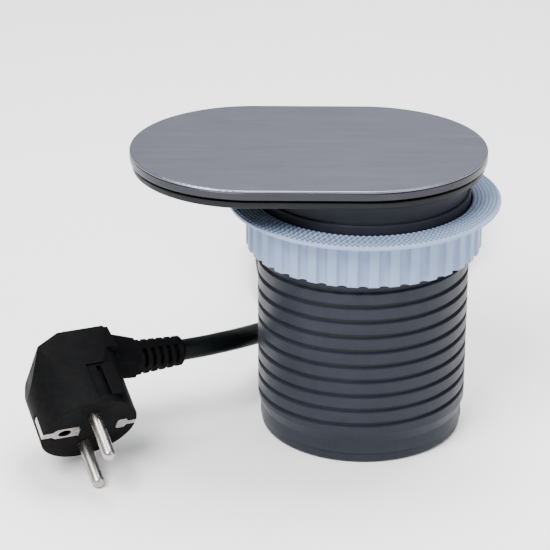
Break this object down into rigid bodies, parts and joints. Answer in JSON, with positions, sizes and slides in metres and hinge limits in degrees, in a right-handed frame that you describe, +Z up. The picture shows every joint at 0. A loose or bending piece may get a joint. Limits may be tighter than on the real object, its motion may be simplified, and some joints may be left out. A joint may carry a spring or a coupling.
{
  "type": "recessed desk socket",
  "caption": "Recessed desk socket: oval sliding cover on a threaded barrel with a fluted ring nut and clamping washer, mains lead and angled plug behind.",
  "frame": {"origin": "on the barrel's axis, at the underside of the flange, the desk's surface", "axes": "+Z up along the barrel's axis, +X along the oval cover towards its end over the barrel, so the cover opens to -X, -Y is the side the picture shows"},
  "size_m": [0.1816, 0.2814, 0.1118],
  "materials": {
    "sheet_metal": "fine brushed, blue-grey",
    "rim_metal": "satin warm grey",
    "black_plastic": "satin black",
    "barrel_plastic": "satin charcoal",
    "nut_plastic": "satin pale grey",
    "insert_plastic": "fine matt black",
    "lead_rubber": "satin black",
    "plug_plastic": "satin black",
    "nickel": "nickel plated",
    "steel": "zinc plated",
    "spring_steel": "bright",
    "brass": "plain",
    "board_green": "solder mask",
    "core_grey": "ferrite",
    "can_blue": "sleeve",
    "wire_brown": "insulation",
    "wire_blue": "insulation",
    "wire_green": "insulation",
    "nylon": "natural"
  },
  "bodies": {
    "housing": {"barrel": "barrel_plastic", "bottom_cap": "barrel_plastic", "cap_screws": "steel", "cord_gland": "lead_rubber", "base_flange": "black_plastic", "flange_screws": "steel", "guide_block": "black_plastic", "guide_screws": "steel", "detent_spring": "spring_steel", "socket_insert": "insert_plastic", "insert_screws": "steel", "contact_block": "nylon", "live_contact": "brass", "neutral_contact": "brass", "earth_bracket": "nickel", "terminal_screws": "steel", "charger_board": "board_green", "usb_a_port": "nickel", "usb_c_port": "nickel", "transformer": "core_grey", "capacitors": "can_blue", "lead_sheath": "lead_rubber", "lead_clamp": "nylon", "clamp_screws": "steel", "live_wire": "wire_brown", "neutral_wire": "wire_blue", "earth_wire": "wire_green", "plug_body": "plug_plastic", "plug_pins": "nickel", "plug_earth_straps": "nickel", "plug_sleeve": "plug_plastic", "lead_to_coil": "lead_rubber", "lead_coil": "lead_rubber", "lead_tie": "black_plastic", "lead_to_plug": "lead_rubber"},
    "cover": {"cover_plate": "sheet_metal", "cover_rim": "rim_metal", "cover_carrier": "black_plastic"},
    "washer": {"clamp_washer": "nut_plastic"},
    "nut": {"ring_nut": "nut_plastic"}
  },
  "joints": [
    {"name": "cover_slide", "type": "slide", "parent": "housing", "child": "cover", "axis": [-1, 0, 0], "range_m": [0, 0.082]},
    {"name": "nut_travel", "type": "slide", "parent": "housing", "child": "washer", "axis": [0, 0, 1], "range_m": [-0.04, 0.009]},
    {"name": "nut_spin", "type": "hinge", "parent": "washer", "child": "nut", "pos_m": [0, 0, -0.0218], "axis": [0, 0, 1], "range_deg": [-2403, 543]}
  ],
  "couplings": [
    {"joint": "nut_spin", "follows": "nut_travel", "rad_per_m": 1047.2}
  ]
}
